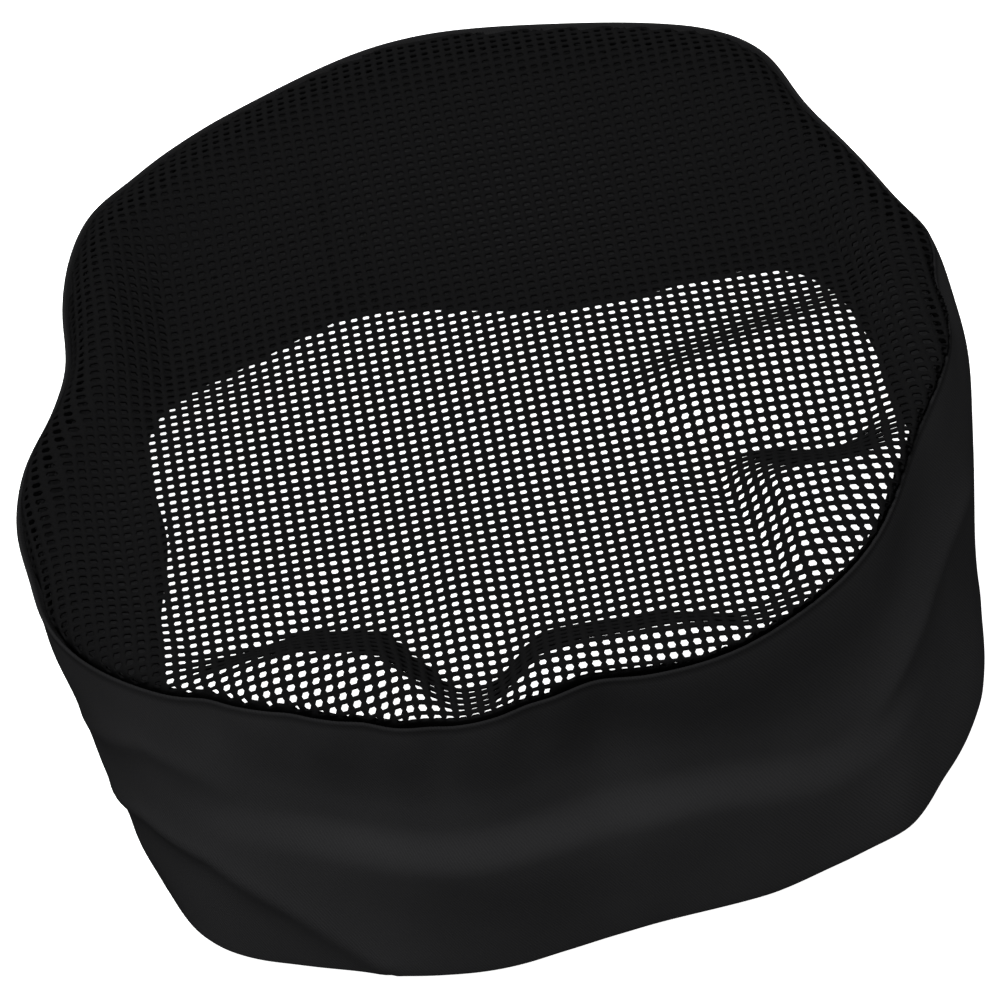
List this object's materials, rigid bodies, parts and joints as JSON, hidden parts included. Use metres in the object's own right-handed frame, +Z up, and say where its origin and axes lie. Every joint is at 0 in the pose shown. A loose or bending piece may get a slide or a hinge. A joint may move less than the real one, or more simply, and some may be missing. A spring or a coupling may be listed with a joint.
{
  "type": "chef skull cap",
  "caption": "Low black chef's cap with a flat perforated mesh crown, a folded twill band and a hook-and-loop back tab.",
  "frame": {"origin": "centre of the bounding box, on the plane of the band's rim", "axes": "+Z up from the rim to the crown, +Y towards the back closure, so the front of the cap faces -Y"},
  "size_m": [0.2086, 0.1999, 0.0901],
  "materials": {
    "twill": "black cotton-polyester twill",
    "crown_mesh": "black perforated warp-knit mesh",
    "interlining": "dark non-woven interlining",
    "binding_tape": "black woven binding tape",
    "thread": "black polyester sewing thread",
    "hook_tape": "black hook tape",
    "loop_tape": "black brushed loop tape",
    "label": "plain dark woven label"
  },
  "bodies": {
    "cap": {"band": "twill", "band_interlining": "interlining", "crown_mesh_panel": "crown_mesh", "seam_binding": "binding_tape", "crown_seam_stitching": "thread", "binding_stitching": "thread", "slit_bar_tack": "thread", "loop_strip": "loop_tape", "loop_strip_stitching": "thread", "tab_root_stitching": "thread", "care_label": "label", "label_stitching": "thread"},
    "tab": {"closure_tab": "twill", "tab_interlining": "interlining", "hook_strip": "hook_tape", "hook_strip_stitching": "thread", "tab_edge_stitching": "thread"}
  },
  "joints": [
    {"name": "tab_peel", "type": "hinge", "parent": "cap", "child": "tab", "pos_m": [0.01202, 0.09076, 0.0235], "axis": [0.0017, 0.0023, -1], "range_deg": [0, 90]}
  ]
}
